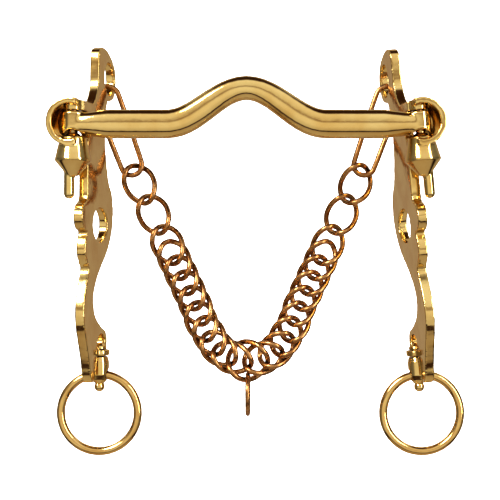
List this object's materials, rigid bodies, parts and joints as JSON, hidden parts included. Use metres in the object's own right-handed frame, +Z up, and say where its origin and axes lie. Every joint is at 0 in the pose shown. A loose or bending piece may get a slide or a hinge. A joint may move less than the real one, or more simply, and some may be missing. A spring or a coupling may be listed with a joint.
{
  "type": "curb bit",
  "caption": "Curb bit with a ported bar mouthpiece, hinged pierced cheeks, swivelling rein rings and a doubled curb chain on two hooks.",
  "frame": {"origin": "middle of the mouthpiece bar, on the line between the two cheek pins", "axes": "+X to the right seen from the front, +Y back towards the horse's chin, +Z up towards the headstall eyes"},
  "size_m": [0.1789, 0.0543, 0.1792],
  "materials": {
    "gilt_brass": "polished",
    "aged_bronze": "antique"
  },
  "bodies": {
    "mouthpiece": {"mouthpiece": "gilt_brass"},
    "left_cheek": {"left_cheek": "gilt_brass", "left_hinge_pin": "gilt_brass"},
    "left_rein_swivel": {"left_rein_swivel": "gilt_brass"},
    "left_rein_ring": {"left_rein_ring": "gilt_brass"},
    "right_cheek": {"right_cheek": "gilt_brass", "right_hinge_pin": "gilt_brass"},
    "right_rein_swivel": {"right_rein_swivel": "gilt_brass"},
    "right_rein_ring": {"right_rein_ring": "gilt_brass"},
    "curb_chain": {"chain_link_10": "aged_bronze", "chain_link_11": "aged_bronze", "chain_link_12": "aged_bronze", "chain_link_13": "aged_bronze", "chain_link_14": "aged_bronze"},
    "fly_link": {"fly_link": "aged_bronze"},
    "left_curb_hook": {"left_curb_hook": "aged_bronze"},
    "chain_link_01": {"chain_link_01": "aged_bronze"},
    "chain_link_02": {"chain_link_02": "aged_bronze"},
    "chain_link_03": {"chain_link_03": "aged_bronze"},
    "chain_link_04": {"chain_link_04": "aged_bronze"},
    "chain_link_05": {"chain_link_05": "aged_bronze"},
    "chain_link_06": {"chain_link_06": "aged_bronze"},
    "chain_link_07": {"chain_link_07": "aged_bronze"},
    "chain_link_08": {"chain_link_08": "aged_bronze"},
    "chain_link_09": {"chain_link_09": "aged_bronze"},
    "right_curb_hook": {"right_curb_hook": "aged_bronze"},
    "chain_link_23": {"chain_link_23": "aged_bronze"},
    "chain_link_22": {"chain_link_22": "aged_bronze"},
    "chain_link_21": {"chain_link_21": "aged_bronze"},
    "chain_link_20": {"chain_link_20": "aged_bronze"},
    "chain_link_19": {"chain_link_19": "aged_bronze"},
    "chain_link_18": {"chain_link_18": "aged_bronze"},
    "chain_link_17": {"chain_link_17": "aged_bronze"},
    "chain_link_16": {"chain_link_16": "aged_bronze"},
    "chain_link_15": {"chain_link_15": "aged_bronze"}
  },
  "joints": [
    {"name": "left_cheek_yaw", "type": "hinge", "parent": "mouthpiece", "child": "left_cheek", "pos_m": [-0.0722, 0, 0], "axis": [0.0052, 0, 1], "range_deg": [-6, 5]},
    {"name": "left_swivel_turn", "type": "hinge", "parent": "left_cheek", "child": "left_rein_swivel", "pos_m": [-0.06478, 0.02507, -0.09604], "axis": [0.0052, 0, 1], "range_deg": [-30, 30]},
    {"name": "left_ring_swing", "type": "hinge", "parent": "left_rein_swivel", "child": "left_rein_ring", "pos_m": [-0.06484, 0.02507, -0.10694], "axis": [1, 0, -0.0052], "range_deg": [-80, 80]},
    {"name": "right_cheek_yaw", "type": "hinge", "parent": "mouthpiece", "child": "right_cheek", "pos_m": [0.0722, 0, 0], "axis": [-0.0906, 0, 0.9959], "range_deg": [-5, 8]},
    {"name": "right_swivel_turn", "type": "hinge", "parent": "right_cheek", "child": "right_rein_swivel", "pos_m": [0.07389, 0.02533, -0.09624], "axis": [-0.0906, 0, 0.9959], "range_deg": [-30, 30]},
    {"name": "right_ring_swing", "type": "hinge", "parent": "right_rein_swivel", "child": "right_rein_ring", "pos_m": [0.07488, 0.02533, -0.1071], "axis": [0.9959, 0, 0.0906], "range_deg": [-80, 80]},
    {"name": "chain_swing", "type": "hinge", "parent": "mouthpiece", "child": "curb_chain", "pos_m": [0, 0.0367, 0.0209], "axis": [1, 0, 0], "range_deg": [-6, 50]},
    {"name": "fly_link_swing", "type": "hinge", "parent": "curb_chain", "child": "fly_link", "pos_m": [0, 0.0367, -0.11081], "axis": [1, 0, 0], "range_deg": [-6, 6]},
    {"name": "left_hook_sway", "type": "hinge", "parent": "curb_chain", "child": "left_curb_hook", "pos_m": [-0.06498, 0.0367, -0.0162], "axis": [0, 1, 0], "range_deg": [-5.3, 6.35]},
    {"name": "chain_link_01_turn", "type": "hinge", "parent": "curb_chain", "child": "chain_link_01", "pos_m": [-0.0515, 0.0367, -0.0162], "axis": [0.4174, 0, -0.9087], "range_deg": [-6, 6]},
    {"name": "chain_link_02_turn", "type": "hinge", "parent": "curb_chain", "child": "chain_link_02", "pos_m": [-0.0515, 0.0367, -0.0162], "axis": [0.4174, 0, -0.9087], "range_deg": [-6, 6]},
    {"name": "left_strap_twist", "type": "hinge", "parent": "curb_chain", "child": "chain_link_03", "pos_m": [-0.0515, 0.0367, -0.0162], "axis": [0.4174, 0, -0.9087], "range_deg": [-14, 14]},
    {"name": "chain_link_04_twist", "type": "hinge", "parent": "curb_chain", "child": "chain_link_04", "pos_m": [-0.0515, 0.0367, -0.0162], "axis": [0.4174, 0, -0.9087], "range_deg": [-12.05, 12.05]},
    {"name": "chain_link_05_twist", "type": "hinge", "parent": "curb_chain", "child": "chain_link_05", "pos_m": [-0.0515, 0.0367, -0.0162], "axis": [0.4174, 0, -0.9087], "range_deg": [-10.05, 10.05]},
    {"name": "chain_link_06_twist", "type": "hinge", "parent": "curb_chain", "child": "chain_link_06", "pos_m": [-0.0515, 0.0367, -0.0162], "axis": [0.4174, 0, -0.9087], "range_deg": [-8.05, 8.05]},
    {"name": "chain_link_07_twist", "type": "hinge", "parent": "curb_chain", "child": "chain_link_07", "pos_m": [-0.0515, 0.0367, -0.0162], "axis": [0.4174, 0, -0.9087], "range_deg": [-6.05, 6.05]},
    {"name": "chain_link_08_twist", "type": "hinge", "parent": "curb_chain", "child": "chain_link_08", "pos_m": [-0.0515, 0.0367, -0.0162], "axis": [0.4174, 0, -0.9087], "range_deg": [-4.05, 4.05]},
    {"name": "chain_link_09_twist", "type": "hinge", "parent": "curb_chain", "child": "chain_link_09", "pos_m": [-0.0515, 0.0367, -0.0162], "axis": [0.4174, 0, -0.9087], "range_deg": [-2.05, 2.05]},
    {"name": "right_hook_sway", "type": "hinge", "parent": "curb_chain", "child": "right_curb_hook", "pos_m": [0.06452, 0.0367, -0.0162], "axis": [0, 1, 0], "range_deg": [-8.45, 5.3]},
    {"name": "chain_link_23_turn", "type": "hinge", "parent": "curb_chain", "child": "chain_link_23", "pos_m": [0.0515, 0.0367, -0.0162], "axis": [-0.4174, 0, -0.9087], "range_deg": [-6, 6]},
    {"name": "chain_link_22_turn", "type": "hinge", "parent": "curb_chain", "child": "chain_link_22", "pos_m": [0.0515, 0.0367, -0.0162], "axis": [-0.4174, 0, -0.9087], "range_deg": [-6, 6]},
    {"name": "right_strap_twist", "type": "hinge", "parent": "curb_chain", "child": "chain_link_21", "pos_m": [0.0515, 0.0367, -0.0162], "axis": [-0.4174, 0, -0.9087], "range_deg": [-14, 14]},
    {"name": "chain_link_20_twist", "type": "hinge", "parent": "curb_chain", "child": "chain_link_20", "pos_m": [0.0515, 0.0367, -0.0162], "axis": [-0.4174, 0, -0.9087], "range_deg": [-12.05, 12.05]},
    {"name": "chain_link_19_twist", "type": "hinge", "parent": "curb_chain", "child": "chain_link_19", "pos_m": [0.0515, 0.0367, -0.0162], "axis": [-0.4174, 0, -0.9087], "range_deg": [-10.05, 10.05]},
    {"name": "chain_link_18_twist", "type": "hinge", "parent": "curb_chain", "child": "chain_link_18", "pos_m": [0.0515, 0.0367, -0.0162], "axis": [-0.4174, 0, -0.9087], "range_deg": [-8.05, 8.05]},
    {"name": "chain_link_17_twist", "type": "hinge", "parent": "curb_chain", "child": "chain_link_17", "pos_m": [0.0515, 0.0367, -0.0162], "axis": [-0.4174, 0, -0.9087], "range_deg": [-6.05, 6.05]},
    {"name": "chain_link_16_twist", "type": "hinge", "parent": "curb_chain", "child": "chain_link_16", "pos_m": [0.0515, 0.0367, -0.0162], "axis": [-0.4174, 0, -0.9087], "range_deg": [-4.05, 4.05]},
    {"name": "chain_link_15_twist", "type": "hinge", "parent": "curb_chain", "child": "chain_link_15", "pos_m": [0.0515, 0.0367, -0.0162], "axis": [-0.4174, 0, -0.9087], "range_deg": [-2.05, 2.05]}
  ],
  "couplings": [
    {"joint": "left_hook_sway", "follows": "left_cheek_yaw", "ratio": -1.05},
    {"joint": "chain_link_04_twist", "follows": "left_strap_twist", "ratio": 0.8571},
    {"joint": "chain_link_05_twist", "follows": "left_strap_twist", "ratio": 0.7143},
    {"joint": "chain_link_06_twist", "follows": "left_strap_twist", "ratio": 0.5714},
    {"joint": "chain_link_07_twist", "follows": "left_strap_twist", "ratio": 0.4286},
    {"joint": "chain_link_08_twist", "follows": "left_strap_twist", "ratio": 0.2857},
    {"joint": "chain_link_09_twist", "follows": "left_strap_twist", "ratio": 0.1429},
    {"joint": "right_hook_sway", "follows": "right_cheek_yaw", "ratio": -1.05},
    {"joint": "chain_link_20_twist", "follows": "right_strap_twist", "ratio": 0.8571},
    {"joint": "chain_link_19_twist", "follows": "right_strap_twist", "ratio": 0.7143},
    {"joint": "chain_link_18_twist", "follows": "right_strap_twist", "ratio": 0.5714},
    {"joint": "chain_link_17_twist", "follows": "right_strap_twist", "ratio": 0.4286},
    {"joint": "chain_link_16_twist", "follows": "right_strap_twist", "ratio": 0.2857},
    {"joint": "chain_link_15_twist", "follows": "right_strap_twist", "ratio": 0.1429}
  ]
}
